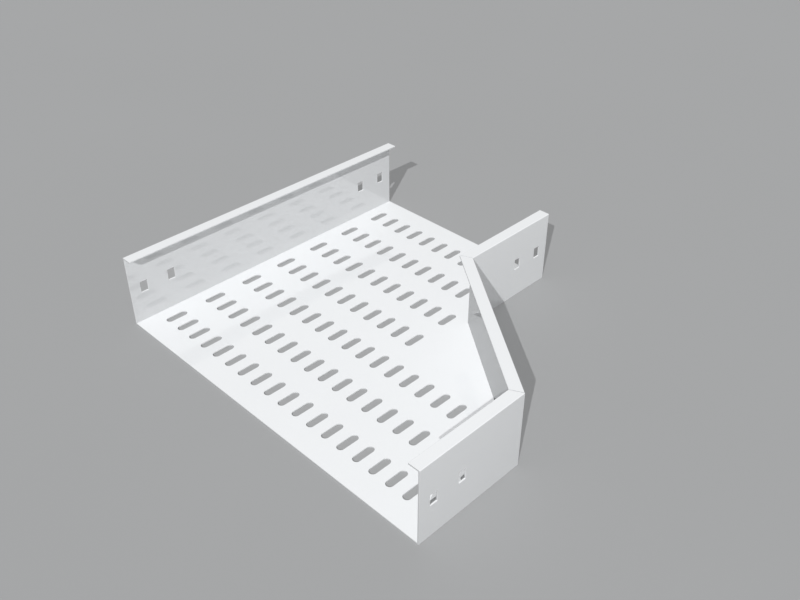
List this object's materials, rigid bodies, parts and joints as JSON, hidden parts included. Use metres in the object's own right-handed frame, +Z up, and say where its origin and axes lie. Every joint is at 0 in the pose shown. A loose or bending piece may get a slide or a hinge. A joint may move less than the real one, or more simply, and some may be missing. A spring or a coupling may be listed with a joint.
{
  "type": "cable tray reducer",
  "caption": "White coated sheet-steel cable tray reducer with a slotted floor, in-turned top flanges, one straight side and one side that steps in to a narrower tray.",
  "frame": {"origin": "middle of the plan box, on the underside of the floor", "axes": "+X across the tray from the straight side to the stepped side, +Y along the tray from the wide end to the narrow end, +Z up"},
  "size_m": [0.5, 0.45, 0.1],
  "materials": {
    "white_coat": "gloss white powder coat on sheet steel"
  },
  "bodies": {
    "root": {"base_plate": "white_coat", "straight_side_rail": "white_coat", "wide_side_rail": "white_coat", "slanted_side_rail": "white_coat", "narrow_side_rail": "white_coat"}
  },
  "joints": []
}
